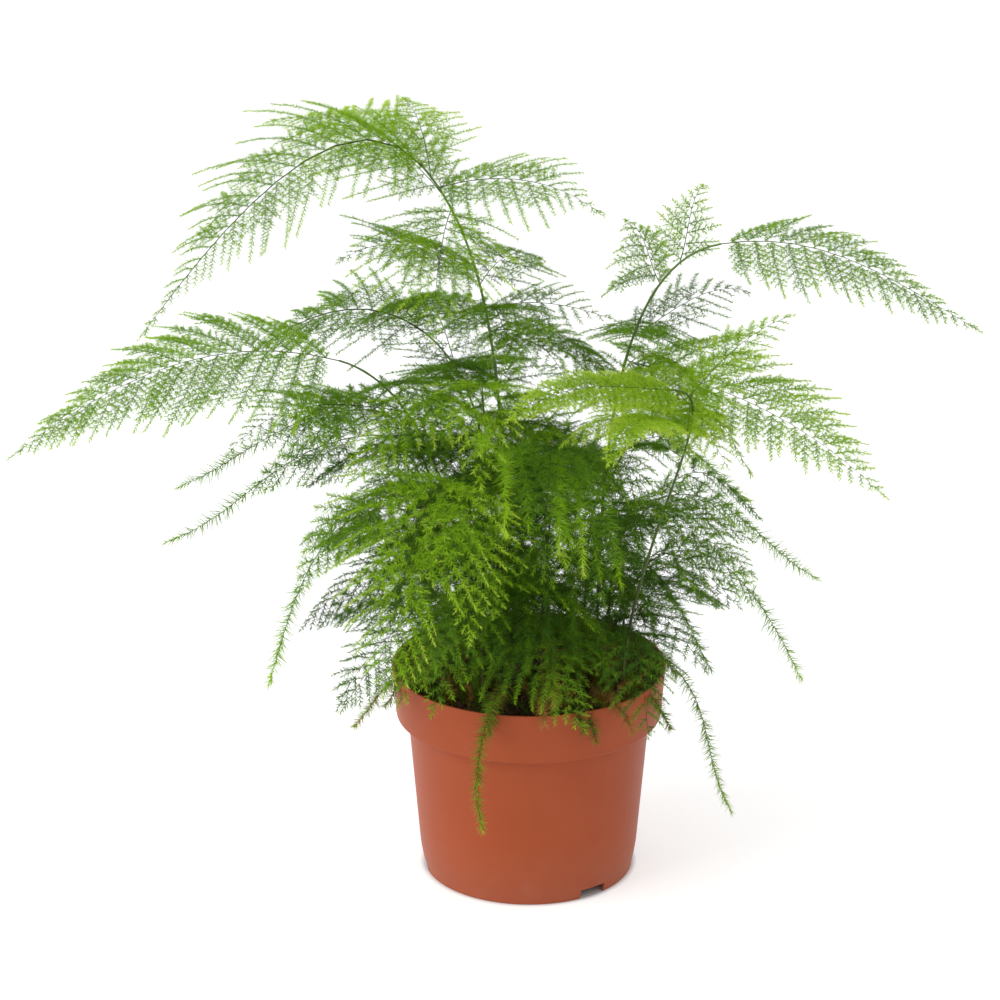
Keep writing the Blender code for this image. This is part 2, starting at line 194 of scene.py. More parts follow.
@dataclass(frozen=True)
class Style:
    """How a spray branches and bears its needles; lengths in mm and angles in degrees."""

    needle: float  # a needle's length
    width: float  # its width at the foot
    per_whorl: int
    whorl_step: float
    spread: float  # a needle's angle to its twig
    scatter: float  # how far a tuft's needles turn out of the spray's plane
    branch_step: float  # along the rib, from a branch on one hand to the next on the other
    twig: float  # the longest twig
    twig_step: float
    twig_zone: float  # the share of a branch that carries twigs
    twig_from: float  # the shortest branch that carries them
    fullness: float  # above 1 the spray keeps its full width further along
    taper: float  # below 1 its sides bulge towards the tip, above 1 they draw in
    tail: float  # the share of the rib, at its tip, with needles only
    rib_shade: float = 0.0  # how much darker than its needles the rib is
    point: float = 0.35  # how much shorter and closer the needles are at a twig's tip
    dry: float = 0.0  # the share of its needles that are drying out
    tail_size: float = 0.9  # its tail's needles over the others


AIRY = Style(needle=3.0, width=0.20, per_whorl=8, whorl_step=0.78, spread=60.0, scatter=34.0,
             branch_step=3.3, twig=6.5, twig_step=2.2, twig_zone=0.46, twig_from=18.0,
             fullness=2.4, taper=1.5, tail=0.04, rib_shade=0.3)
FERNY = Style(needle=2.7, width=0.25, per_whorl=7, whorl_step=0.76, spread=56.0, scatter=36.0,
              branch_step=3.4, twig=6.0, twig_step=1.85, twig_zone=0.80, twig_from=8.0,
              fullness=1.15, taper=0.85, tail=0.04)
LIME = replace(FERNY, width=0.26, branch_step=2.2, twig=4.0, twig_step=1.6, twig_from=5.0,
               fullness=1.6, taper=1.2)
FULL = replace(FERNY, per_whorl=9)
POINTED = replace(FERNY, width=0.30, per_whorl=9, branch_step=1.9, twig=3.6, twig_step=1.5,
                  twig_from=5.0, fullness=1.5, taper=0.62)
BUSHY = Style(needle=3.7, width=0.28, per_whorl=6, whorl_step=0.84, spread=54.0, scatter=50.0,
              branch_step=3.8, twig=9.0, twig_step=3.8, twig_zone=0.36, twig_from=24.0,
              fullness=1.05, taper=0.65, tail=0.06, point=0.6)
STRING = Style(needle=5.8, width=0.36, per_whorl=5, whorl_step=0.95, spread=62.0, scatter=80.0,
               branch_step=3.6, twig=6.0, twig_step=2.4, twig_zone=0.36, twig_from=14.0,
               fullness=1.05, taper=0.85, tail=0.40, point=0.45, tail_size=1.35)
FINGER = replace(STRING, needle=7.4, width=0.38, per_whorl=6, whorl_step=1.1, spread=64.0,
                 scatter=180.0, tail=1.0, point=0.5, tail_size=0.9)
FUZZ = replace(FINGER, needle=4.0, width=0.13, per_whorl=9, whorl_step=0.75, spread=58.0,
               point=0.35)
# DRAPE's negative rib_shade colours its rib lighter than its needles, as painted light against the
# shade along it.
DRAPE = replace(FUZZ, needle=6.4, width=0.30, per_whorl=11, whorl_step=0.8, spread=66.0,
                rib_shade=-0.25, dry=0.40)
FALLING = replace(STRING, per_whorl=6, whorl_step=0.85, tail=0.45)


@dataclass
class Habit:
    """The style of a stem's fronds that have none in LOOKS, and how its side sprays grow."""

    style: Style = STRING
    spacing: float = 1.0  # from one side spray to the next, over UNDERGROWTH_STEP
    shade: float = 0.85  # how bright its side sprays are, over its tone
    bare_top: float = 8.0  # the length of its top without side sprays, in mm


HABITS = {
    "tall_left": Habit(AIRY, 0.75, 0.95, 52.0),
    "long_left": Habit(AIRY, 0.7),
    "arching_left": Habit(AIRY, 0.7),
    "mid_left": Habit(spacing=0.75),
    "falling_left": Habit(FALLING),
    "front_left": Habit(BUSHY, shade=0.95),
    "front_high": Habit(BUSHY),
    # The middle's side sprays are darker than their tone: partly their own deeper green, partly
    # painted shade inside the plant.
    "centre": Habit(BUSHY, 0.8, 0.50),
    "tall_right": Habit(AIRY, 1.7, bare_top=55.0),
    # The side sprays under the bright fern head are darker: partly their own deeper green, partly
    # painted shade that falls under the head.
    "front_right": Habit(FERNY, 0.9, 0.5),
    "mid_right": Habit(spacing=2.8, shade=2.4),
    "low_right": Habit(spacing=2.2, shade=2.2),
    "over_rim_right": Habit(FINGER),
    "over_rim_front": Habit(DRAPE),
    "over_rim_left": Habit(DRAPE),
}


@dataclass
class Look:
    """How a spray is held, and its tone and style where they aren't its stem's."""

    tone: float = None
    style: Style = None
    roll: float = 18.0  # degrees by which its far side stands higher than its near side
    sag: float = 0.16  # how far its branches hang at their tips, over their length
    reach: float = 1.1  # its longest branch, over its CAD blade's width
    near: float = 1.0  # its near branches, over its far ones
    bow: float = 0.0  # how far its rib bows to the left before its tip, in mm


LOOKS = {
    "tall_left_main": Look(0.56, roll=21.0, sag=0.22, near=0.60),
    "tall_left_summit": Look(0.70, reach=0.90),
    "tall_left_back": Look(0.66),
    "tall_left_front": Look(0.64, reach=0.90),
    "tall_left_right": Look(0.58, reach=0.80),
    "long_left_main": Look(0.54, FERNY, roll=12.0, near=1.1),
    "mid_left_main": Look(0.36),
    "low_left_main": Look(0.38),
    "falling_left_main": Look(0.50, roll=6.0, sag=0.08, reach=1.0),
    # The middle's fronds are darker: partly their own deeper green, partly painted shade inside the
    # plant.
    "centre_main": Look(0.30),
    "centre_right": Look(0.28),
    "centre_back": Look(0.25),
    "tall_right_main": Look(0.52, FERNY, roll=16.0, reach=0.65, near=1.2),
    "tall_right_summit": Look(0.64, LIME, roll=8.0, reach=0.80),
    "tall_right_left": Look(0.64, LIME, roll=10.0, sag=0.45, near=1.2),
    "tall_right_outer": Look(0.70, FULL, roll=32.0, reach=1.3, near=0.75),
    "tall_right_back": Look(0.30),
    "front_right_main": Look(0.80, POINTED, roll=44.0, sag=0.10, reach=0.36),
    "front_right_drooping": Look(0.76, POINTED, reach=0.62),
    "front_right_outer": Look(0.72),
    "mid_right_main": Look(0.46),
    "low_right_main": Look(0.44),
    "falling_right_main": Look(0.46),
    "over_rim_front_main": Look(0.38, bow=3.0),
    "over_rim_right_main": Look(0.40),
}


def unit(vectors):
    """One vector or several, each made one long."""
    return vectors / np.linalg.norm(vectors, axis=-1, keepdims=True)


def level(vector):
    """The level unit vector along a direction."""
    return unit(np.array((vector[0], vector[1], 0.0)))


def toward(turn):
    """The level unit vector at an angle from +X, in radians."""
    return np.array((math.cos(turn), math.sin(turn), 0.0))


def raised(heading, degrees):
    slope = math.radians(degrees)
    return heading * math.cos(slope) + UP * math.sin(slope)


def bezier(start, leaving, arriving, end, count):
    """Points evenly spaced in the parameter of a cubic Bezier curve."""
    share = np.linspace(0.0, 1.0, count)[:, None]
    rest = 1.0 - share
    return (rest ** 3 * start + 3.0 * rest ** 2 * share * leaving
            + 3.0 * rest * share ** 2 * arriving + share ** 3 * end)


def soil_height(x, y):
    return SOIL_EDGE_HEIGHT + SOIL_CROWN * (1.0 - (x * x + y * y) / SOIL_RADIUS ** 2)


def stem_path(stem, count=28):
    """Points up a stem from the soil's surface to its top."""
    x, y = stem.foot[0] * MM, stem.foot[1] * MM
    ground = np.array((x, y, soil_height(x, y)))
    top = np.array(stem.top) * MM
    crown = stem.fronds[0]
    arrival = raised(level(np.array(crown.tip) * MM - top), crown.climb)
    rise = np.linalg.norm(top - ground)
    return bezier(ground, ground + UP * rise * STEM_UPRIGHT_REACH,
                  top - arrival * rise * STEM_ARRIVAL_REACH, top, count)


def rib_path(start, tip, climb, droop, count=24):
    """Points along a frond's rib, out from its start and over to its drooping tip."""
    heading = level(tip - start)
    reach = np.linalg.norm(tip - start)
    return bezier(start, start + raised(heading, climb) * reach * RIB_START_REACH,
                  tip - raised(heading, -droop) * reach * RIB_DROOP_REACH, tip, count)


class Line:
    """A polyline that can be read at any distance along it."""

    def __init__(self, points):
        self.points = points
        steps = np.linalg.norm(np.diff(points, axis=0), axis=1)
        self.marks = np.concatenate(([0.0], np.cumsum(steps)))
        self.length = self.marks[-1]

    def at(self, distances):
        return np.stack([np.interp(distances, self.marks, self.points[:, axis])
                         for axis in range(3)], axis=-1)

    def direction(self, distances):
        nudge = self.length * 0.01
        ahead = self.at(np.minimum(distances + nudge, self.length))
        behind = self.at(np.maximum(distances - nudge, 0.0))
        return unit(ahead - behind)

    def at_height(self, height):
        """The distance along a rising line at which it reaches a height."""
        return float(np.interp(height, self.points[:, 2], self.marks))


def ring_points(centres, side, over, girth, sides):
    """Rings of points round a line, from the two directions across it at every centre."""
    angles = np.arange(sides) * 2.0 * math.pi / sides
    circle = (np.cos(angles)[None, :, None] * side[:, None]
              + np.sin(angles)[None, :, None] * over[:, None])
    return centres[:, None] + girth[:, None, None] * circle


def tube_rings(line, marks, girth, sides, away):
    """Rings of points round a line, at marks along it; it never runs in the direction away."""
    along = line.direction(marks)
    side = unit(np.cross(along, away))
    return ring_points(line.at(marks), side, np.cross(side, along), girth, sides)


def circle_places(radius, sides):
    """Level places (x, y) evenly round the pot's axis, or the one place on it."""
    if radius == 0.0:
        return [(0.0, 0.0)]
    turns = [2.0 * math.pi * step / sides for step in range(sides)]
    return [(radius * math.cos(turn), radius * math.sin(turn)) for turn in turns]


def skin(rings):
    """Vertices, and faces that join each ring of points to the next; a ring may be one point."""
    first = np.cumsum([0] + [len(ring) for ring in rings]).tolist()
    faces = []
    for upper, lower in zip(range(len(rings)), range(1, len(rings))):
        for step in range(max(len(rings[upper]), len(rings[lower]))):
            round_face = ((upper, step), (lower, step), (lower, step + 1), (upper, step + 1))
            corners = dict.fromkeys(first[ring] + place % len(rings[ring])
                                    for ring, place in round_face)
            faces.append(tuple(corners))
    return [tuple(point) for ring in rings for point in ring], faces


def new_mesh(name, vertices, faces):
    mesh = bpy.data.meshes.new(name)
    mesh.from_pydata(vertices, [], faces)
    mesh.update()
    return mesh


def shape_mesh(name, shape):
    """Turns a bmesh shape into a mesh."""
    mesh = bpy.data.meshes.new(name)
    shape.to_mesh(mesh)
    shape.free()
    return mesh


def link_object(name, data):
    """A new object in the scene for a mesh, lamp or camera."""
    new = bpy.data.objects.new(name, data)
    bpy.context.scene.collection.objects.link(new)
    return new


# ------------------------------ growing meshes
NEEDLE_MAP = (0.30, 0.42)  # where a needle's foot and tip lie up the colour map
DRY_MAP = (0.60, 0.72)
WOOD_MAP = (0.04, 0.10)
MAP_HALF_WIDTH = 0.006
NEARLY_UP = UP + np.array((0.013, 0.007, 0.0))  # no twig or needle runs along it
WIRE_UP = UP + np.array((0.011, 0.017, 0.0))  # nor a rib or branch along this
WIRE_TAPER = 0.7
SPREAD_SCATTER = 0.17  # how far a needle's angle to its twig strays, in radians
NEEDLE_LENGTHS = (0.70, 1.15)  # the shortest and longest needle, over their style's
TWIG_FACES = np.array(((0, 1, 3), (1, 2, 3), (2, 0, 3)))


def map_patches(rows, tones):
    """A narrow patch of the colour map for each face: tone across, rows from foot to tip."""
    rows = np.broadcast_to(rows, (len(tones), 2))
    tones = np.clip(tones, 0.02, 0.98)
    return np.stack([np.stack((tones - MAP_HALF_WIDTH, rows[:, 0]), axis=-1),
                     np.stack((tones + MAP_HALF_WIDTH, rows[:, 0]), axis=-1),
                     np.stack((tones, rows[:, 1]), axis=-1)], axis=1)


class Growth:
    """Collects the twigs and needles of one piece and makes them into one mesh."""

    def __init__(self, seed, style):
        self.random = np.random.default_rng(seed)
        self.style = style
        self.vertices = []
        self.triangles = []
        self.maps = []
        self.vertex_count = 0
        self.whorls = []
        self.needle_map = NEEDLE_MAP

    def add(self, vertices, triangles, maps):
        self.vertices.append(vertices)
        self.triangles.append(triangles + self.vertex_count)
        self.maps.append(maps)
        self.vertex_count += len(vertices)

    def wire(self, line, radius, tone, points=5):
        """A three-sided rib or branch that tapers to a point."""
        marks = np.linspace(0.0, line.length, points)
        girth = radius * (1.0 - WIRE_TAPER * marks / line.length)
        rings = tube_rings(line, marks, girth, 3, WIRE_UP)
        vertices, faces = skin([*rings[:-1], line.points[-1:]])
        triangles = [(face[0], *ahead) for face in faces for ahead in zip(face[1:], face[2:])]
        maps = map_patches(WOOD_MAP, np.full(len(triangles), tone))
        self.add(np.array(vertices), np.array(triangles), maps)

    def mark_whorls(self, centres, along, share, size, tone):
        """Notes whorls of needles; share runs from 0 at a twig's foot to 1 at its tip."""
        sizes = size * (1.0 - self.style.point * share ** 3)
        tones = tone * (1.0 + 0.5 * share ** 4) + self.random.normal(0.0, 0.04, len(share))
        self.whorls.append((centres, along, share, sizes, tones))

    def needle_run(self, line, start, tone, size=1.0):
        """Whorls all along a line, from a start distance to its tip."""
        count = max(int((line.length - start) / (self.style.whorl_step * MM)), 1)
        marks = np.linspace(start, line.length, count + 1)
        self.mark_whorls(line.at(marks), line.direction(marks), marks / line.length, size, tone)

    def twigs(self, feet, aims, reaches, tone, size):
        """Short straight twigs: slim three-sided spikes, each with its whorls."""
        across = unit(np.cross(aims, NEARLY_UP))
        girth = np.full(len(feet), TWIG_RADIUS)
        rings = ring_points(feet, across, np.cross(aims, across), girth, 3)
        tips = feet + aims * reaches[:, None]
        vertices = np.concatenate((rings, tips[:, None]), axis=1).reshape(-1, 3)
        base = np.arange(len(feet))[:, None] * 4
        triangles = np.concatenate([base + corners for corners in TWIG_FACES])
        self.add(vertices, triangles, map_patches(WOOD_MAP, np.full(len(triangles), tone)))
        counts = np.maximum((reaches / (self.style.whorl_step * MM)).astype(int), 1)
        owner = np.repeat(np.arange(len(feet)), counts)
        place = np.arange(len(owner)) - np.repeat(np.cumsum(counts) - counts, counts)
        share = (place + 1.0) / counts[owner]
        centres = feet[owner] + aims[owner] * (share * reaches[owner])[:, None]
        self.mark_whorls(centres, aims[owner], share, size, tone)

    def grow_needles(self):
        """Needles for every whorl noted so far: slim pointed faces, each turned its own way."""
        per_whorl, random = self.style.per_whorl, self.random
        noted = [np.concatenate(part) for part in zip(*self.whorls)]
        centres, along, share, sizes, tones = [np.repeat(part, per_whorl, axis=0)
                                               for part in noted]
        whorls, total = len(noted[0]), len(sizes)
        side = unit(np.cross(along, NEARLY_UP))
        over = np.cross(side, along)
        hand = np.repeat(np.arange(whorls) % 2, per_whorl) * math.pi
        turn = hand + random.normal(0.0, math.radians(self.style.scatter), total)
        spread = math.radians(self.style.spread) * (1.0 - self.style.point * share ** 6)
        spread += random.normal(0.0, SPREAD_SCATTER, total)
        outward = side * np.cos(turn)[:, None] + over * np.sin(turn)[:, None]
        shift = random.uniform(-0.5, 0.5, total) * self.style.whorl_step * MM
        centres = centres + along * shift[:, None]
        aims = along * np.cos(spread)[:, None] + outward * np.sin(spread)[:, None]
        reaches = self.style.needle * MM * sizes * random.uniform(*NEEDLE_LENGTHS, total)
        rows = np.full((total, 2), self.needle_map)
        if self.style.dry > 0.0:
            rows[random.uniform(0.0, 1.0, total) < self.style.dry] = DRY_MAP
        across = unit(np.cross(aims, random.normal(0.0, 1.0, aims.shape)))
        half = across * (0.5 * self.style.width * MM)
        tips = centres + aims * reaches[:, None]
        vertices = np.stack((centres - half, centres + half, tips), axis=1).reshape(-1, 3)
        self.add(vertices, np.arange(len(vertices)).reshape(-1, 3), map_patches(rows, tones))
        self.whorls = []

    def make(self, name):
        """Makes all that was collected into one piece."""
        vertices, triangles, maps = [np.concatenate(parts) for parts in
                                     (self.vertices, self.triangles, self.maps)]
        mesh = bpy.data.meshes.new(name)
        mesh.vertices.add(len(vertices))
        mesh.vertices.foreach_set("co", vertices.astype(np.float32).ravel())
        mesh.loops.add(triangles.size)
        mesh.loops.foreach_set("vertex_index", triangles.astype(np.int32).ravel())
        mesh.polygons.add(len(triangles))
        mesh.polygons.foreach_set("loop_start", np.arange(0, triangles.size, 3, dtype=np.int32))
        layer = mesh.uv_layers.new(name="OFBake")
        layer.data.foreach_set("uv", maps.astype(np.float32).ravel())
        mesh.update(calc_edges=True)
        return place_piece(name, mesh, FOLIAGE)


def grow_twigs(growth, branch, forward, tone):
    """Short twigs on both hands of a branch's lower part, in the spray's plane."""
    style, random = growth.style, growth.random
    step = style.twig_step * MM
    marks = np.arange(0.6 * MM, branch.length * style.twig_zone, step)
    marks = marks + random.uniform(-0.2, 0.2, len(marks)) * step
    left = branch.length - marks
    reaches = np.minimum(style.twig * MM, TWIG_SHARE * left) * random.uniform(0.8, 1.1, len(marks))
    along = branch.direction(marks)
    across = unit(forward - along * (along @ forward)[:, None])
    across *= np.where(np.arange(len(marks)) % 2, 1.0, -1.0)[:, None]
    scatter = random.normal(0.0, 0.07, (len(marks), 3))
    aims = unit(along * TWIG_FORWARD + across * TWIG_SIDEWAYS + scatter)
    growth.twigs(branch.at(marks), aims, reaches, tone, TWIG_NEEDLE_SIZE)


def branch_line(foot, aim, forward, reach, sag):
    """A side branch: straight out, then turning a little forward and down."""
    share = np.linspace(0.0, 1.0, 6)[:, None]
    middle = foot + aim * reach * 0.5
    end = foot + (aim * BRANCH_OUTWARD + forward * BRANCH_FORWARD - UP * sag) * reach
    return Line((1.0 - share) ** 2 * foot + 2.0 * (1.0 - share) * share * middle
                + share ** 2 * end)


def grow_spray(growth, rib, longest, tone, rib_radius, look):
    """A flat spray that faces a little to the front: a rib with side branches in one plane."""
    growth.wire(rib, rib_radius, tone - growth.style.rib_shade, points=12)
    heading = level(rib.points[-1] - rib.points[0])
    side = np.cross(heading, UP)
    side = raised(side if side[1] > 0.0 else -side, look.roll * abs(heading[0]))
    style, random = growth.style, growth.random
    mark, hand = rib.length * BARE_FOOT, 1
    branched = rib.length * (1.0 - style.tail)
    while mark < branched:
        share = mark / branched
        outline = min(1.0, SPRAY_FOOT_WIDTH + SPRAY_WIDENING * share)
        outline *= min(1.0, style.fullness * (1.0 - share) ** style.taper)
        outline *= look.near if hand < 0 else 1.0
        reach = max(longest * outline * random.uniform(0.82, 1.10), SHORTEST_BRANCH)
        forward = rib.direction(mark)
        lean = math.radians(BRANCH_LEAN - LEAN_LOST * share + random.normal(0.0, 3.0))
        aim = (forward * math.cos(lean) + side * hand * math.sin(lean)
               + UP * random.normal(0.02, 0.05))
        branch = branch_line(rib.at(mark), unit(aim), forward, reach, look.sag)
        branch_tone = tone + 0.06 * share + random.normal(0.0, 0.04)
        growth.wire(branch, BRANCH_RADIUS, branch_tone, points=4)
        growth.needle_run(branch, BRANCH_BARE_FOOT, branch_tone)
        if reach > style.twig_from * MM:
            grow_twigs(growth, branch, forward, branch_tone)
        mark += style.branch_step * MM * (1.1 - 0.3 * share) * random.uniform(0.85, 1.15)
        hand = -hand
    tip_run = Line(rib.at(np.linspace(min(branched, rib.length * RIB_TIP), rib.length, 6)))
    growth.needle_run(tip_run, 0.0, tone + 0.08, style.tail_size)
    growth.grow_needles()


# ------------------------------ materials
def srgb(red, green, blue):
    """A colour written as 8-bit sRGB, as the linear colour that shaders take."""
    def linear(level_8bit):
        value = level_8bit / 255.0
        return value / 12.92 if value <= 0.04045 else ((value + 0.055) / 1.055) ** 2.4
    return (linear(red), linear(green), linear(blue), 1.0)


class Nodes:
    """A short way to write a material's node tree."""

    def __init__(self, name):
        self.material = bpy.data.materials.new(name)
        self.material.use_nodes = True
        self.tree = self.material.node_tree
        self.tree.nodes.clear()
        self.output = self.add("ShaderNodeOutputMaterial")

    def put(self, socket, value):
        """Sets a socket to a plain value, or links another node's output to it."""
        if isinstance(value, bpy.types.NodeSocket):
            self.tree.links.new(value, socket)
        else:
            socket.default_value = value

    def add(self, kind, settings=None, **inputs):
        node = self.tree.nodes.new(kind)
        for key, value in (settings or {}).items():
            setattr(node, key, value)
        for key, value in inputs.items():
            self.put(node.inputs[key.replace("_", " ")], value)
        return node

    def place(self):
        return self.add("ShaderNodeTexCoord").outputs["Object"]

    def ramp(self, factor, *stops):
        """A colour ramp; each stop is its position and its colour as 8-bit sRGB."""
        node = self.add("ShaderNodeValToRGB", Fac=factor)
        elements = node.color_ramp.elements
        while len(elements) < len(stops):
            elements.new(0.5)
        for element, (position, *colour) in zip(elements, stops):
            element.position = position
            element.color = srgb(*colour)
        return node.outputs["Color"]

    def mix(self, factor, first, second):
        node = self.add("ShaderNodeMix", {"data_type": "RGBA"})
        for index, value in ((0, factor), (6, first), (7, second)):
            self.put(node.inputs[index], value)
        return node.outputs[2]

    def math(self, operation, first, second):
        node = self.add("ShaderNodeMath", {"operation": operation})
        self.put(node.inputs[0], first)
        self.put(node.inputs[1], second)
        return node.outputs[0]

    def noise(self, scale, detail, roughness, stretch=(1.0, 1.0, 1.0)):
        """Noise over the object, stretched by its own scale along each axis."""
        place = self.add("ShaderNodeMapping", Vector=self.place(), Scale=stretch).outputs[0]
        node = self.add("ShaderNodeTexNoise", Vector=place, Scale=scale, Detail=detail,
                        Roughness=roughness)
        return node.outputs["Fac"]

    def join(self, kind, first, second, **inputs):
        """Adds or mixes two shaders."""
        node = self.add(kind, **inputs)
        self.put(node.inputs[-2], first.outputs[0])
        self.put(node.inputs[-1], second.outputs[0])
        return self.finish(node.outputs[0])

    def relief(self, colour, roughness, height, strength, depth, specular=0.5):
        """Finishes the material as one surface with a fine relief."""
        bump = self.add("ShaderNodeBump", Height=height, Strength=strength, Distance=depth)
        surface = self.add("ShaderNodeBsdfPrincipled", Base_Color=colour, Roughness=roughness,
                           Specular_IOR_Level=specular, Normal=bump.outputs[0])
        return self.finish(surface.outputs[0])

    def finish(self, shader):
        self.put(self.output.inputs["Surface"], shader)
        return self.material


def foliage_material():
    """Needles from deep to bright green by the map's width, lighter to their tips, and wood."""
    nodes = Nodes("asparagus_foliage")
    place = nodes.add("ShaderNodeUVMap", {"uv_map": "OFBake"}).outputs["UV"]
    split = nodes.add("ShaderNodeSeparateXYZ", Vector=place)
    tone, height = split.outputs["X"], split.outputs["Y"]
    green = nodes.ramp(tone, (0.00, 40, 68, 16), (0.25, 78, 122, 22), (0.50, 128, 174, 36),
                       (0.75, 166, 208, 30), (1.00, 208, 232, 86))
    wood = nodes.ramp(tone, (0.00, 56, 76, 24), (0.50, 96, 126, 34), (1.00, 134, 164, 46))
    dry = nodes.ramp(tone, (0.00, 84, 62, 26), (0.50, 146, 112, 46), (1.00, 206, 160, 84))
    colour = nodes.mix(nodes.math("GREATER_THAN", height, 0.2), wood, green)
    colour = nodes.mix(nodes.math("GREATER_THAN", height, 0.5), colour, dry)
    surface = nodes.add("ShaderNodeBsdfPrincipled", Base_Color=colour, Roughness=0.5,
                        Specular_IOR_Level=0.35)
    through = nodes.add("ShaderNodeBsdfTranslucent", Color=colour)
    return nodes.join("ShaderNodeMixShader", surface, through, Fac=0.45)


def stem_material():
    """Wiry stem: brownish at the foot, green higher up, with fine long streaks."""
    nodes = Nodes("asparagus_stem")
    height = nodes.add("ShaderNodeSeparateXYZ", Vector=nodes.place()).outputs["Z"]
    rise = nodes.math("DIVIDE", nodes.math("SUBTRACT", height, 0.09), 0.20)
    colour = nodes.ramp(rise, (0.0, 92, 76, 44), (0.30, 92, 108, 52), (1.0, 112, 146, 62))
    streak = nodes.noise(1.0, 3.0, 0.6, (900.0, 900.0, 90.0))
    colour = nodes.mix(nodes.math("MULTIPLY", streak, 0.35), colour, srgb(56, 70, 34))
    return nodes.relief(colour, 0.55, streak, strength=0.3, depth=0.0001)


def pot_material():
    """Terracotta-coloured moulded plastic: faint mottling, rub marks, dust at the foot."""
    nodes = Nodes("terracotta_moulded_plastic")
    mottle = nodes.noise(26.0, 3.0, 0.5)
    colour = nodes.ramp(mottle, (0.30, 174, 80, 44), (0.50, 177, 83, 47), (0.72, 181, 87, 51))
    scuffs = nodes.ramp(nodes.noise(70.0, 7.0, 0.72), (0.60, 0, 0, 0), (0.84, 255, 255, 255))
    colour = nodes.mix(nodes.math("MULTIPLY", scuffs, 0.22), colour, srgb(200, 120, 92))
    height = nodes.add("ShaderNodeSeparateXYZ", Vector=nodes.place()).outputs["Z"]
    near_foot = nodes.ramp(nodes.math("DIVIDE", height, 0.03),
                           (0.0, 255, 255, 255), (1.0, 0, 0, 0))
    dust = nodes.math("MULTIPLY", near_foot, nodes.noise(140.0, 5.0, 0.6))
    colour = nodes.mix(nodes.math("MULTIPLY", dust, 0.30), colour, srgb(186, 140, 118))
    roughness = nodes.math("ADD", nodes.math("MULTIPLY", mottle, 0.16), 0.40)
    return nodes.relief(colour, roughness, nodes.noise(2600.0, 2.0, 0.5), strength=0.12,
                        depth=0.00015, specular=0.22)


def peat_material():
    """Moist fibrous peat, from near black to red-brown."""
    nodes = Nodes("peat_mix")
    fine = nodes.noise(2400.0, 4.0, 0.6)
    colour = nodes.ramp(nodes.noise(420.0, 6.0, 0.65),
                        (0.32, 30, 20, 13), (0.52, 62, 42, 26), (0.70, 98, 68, 42))
    colour = nodes.mix(nodes.math("MULTIPLY", fine, 0.5), colour, srgb(28, 19, 12))
    return nodes.relief(colour, 0.9, fine, strength=0.7, depth=0.0006, specular=0.25)


def bark_material():
    """Weathered bits of bark: red-brown, darker along the grain."""
    nodes = Nodes("bark_bits")
    grain = nodes.noise(1.0, 5.0, 0.6, (500.0, 1500.0, 1500.0))
    colour = nodes.ramp(grain, (0.30, 46, 28, 18), (0.55, 96, 58, 36), (0.75, 138, 92, 60))
    patches = nodes.math("MULTIPLY", nodes.noise(260.0, 3.0, 0.5), 0.5)
    colour = nodes.mix(patches, colour, srgb(74, 44, 28))
    return nodes.relief(colour, 0.8, grain, strength=0.6, depth=0.0004)


FOLIAGE = foliage_material()


def place_piece(name, mesh, material):
    """Makes a mesh with its given material into a piece that rides on the one body."""
    mesh.materials.append(material)
    piece = link_object(name, mesh)
    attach(piece, "root")
    return piece


# ------------------------------ pot
POT_HEIGHT = 95.0
RIM_RADIUS = 60.0
RIM_BAND_FLOOR = 72.5
RIM_BAND_LOWER_RADIUS = 58.2
BAND_STEP_RISE = 1.4
WALL_TOP_RADIUS = 53.1
WALL_FOOT_RADIUS = 47.9
WALL_THICKNESS = 1.2
FOOT_SKIRT_HEIGHT = 7.0
FOOT_SKIRT_RADIUS = 46.7
FOOT_DRAFT = 0.6
FLOOR_HEIGHT = 5.2
CENTRE_PAD_RADIUS = 20.0
CENTRE_PAD_SLOPE = 5.0
POT_SIDES = 120
POT_CREASE = math.radians(34.0)
DRAIN_POSITIONS = 6
FIRST_DRAIN_ANGLE = math.radians(-53.0)
BLIND_DRAIN = 5


def pot_corners():
    """The pot's outline, mm, from the axis above the floor to the axis under it.

    Each corner is a radius, a height and how far it is rounded.
    """
    skirt_inside = FOOT_SKIRT_RADIUS - FOOT_DRAFT - WALL_THICKNESS
    band_shelf = RIM_BAND_FLOOR - BAND_STEP_RISE + WALL_THICKNESS
    floor_top = FLOOR_HEIGHT + WALL_THICKNESS
    pad_edge = CENTRE_PAD_RADIUS + CENTRE_PAD_SLOPE
    return [
        (0.0, WALL_THICKNESS, 0.0),
        (CENTRE_PAD_RADIUS, WALL_THICKNESS, 1.0),
        (pad_edge, floor_top, 1.0),
        (WALL_FOOT_RADIUS - WALL_THICKNESS, floor_top, 1.6),
        (WALL_TOP_RADIUS - WALL_THICKNESS, band_shelf, 1.0),
        (RIM_BAND_LOWER_RADIUS - WALL_THICKNESS, band_shelf + BAND_STEP_RISE, 0.6),
        (RIM_RADIUS - WALL_THICKNESS, POT_HEIGHT, 0.5),
        (RIM_RADIUS, POT_HEIGHT, 0.5),
        (RIM_BAND_LOWER_RADIUS, RIM_BAND_FLOOR, 0.6),
        (WALL_TOP_RADIUS, RIM_BAND_FLOOR - BAND_STEP_RISE, 1.6),
        (WALL_FOOT_RADIUS, FOOT_SKIRT_HEIGHT + 2.5, 4.0),
        (FOOT_SKIRT_RADIUS, FOOT_SKIRT_HEIGHT - 3.0, 3.0),
        (FOOT_SKIRT_RADIUS - FOOT_DRAFT, 0.0, 0.5),
        (skirt_inside, 0.0, 0.3),
        (skirt_inside, FLOOR_HEIGHT, 0.8),
        (pad_edge, FLOOR_HEIGHT, 1.0),
        (CENTRE_PAD_RADIUS, 0.0, 1.0),
        (0.0, 0.0, 0.0),
    ]


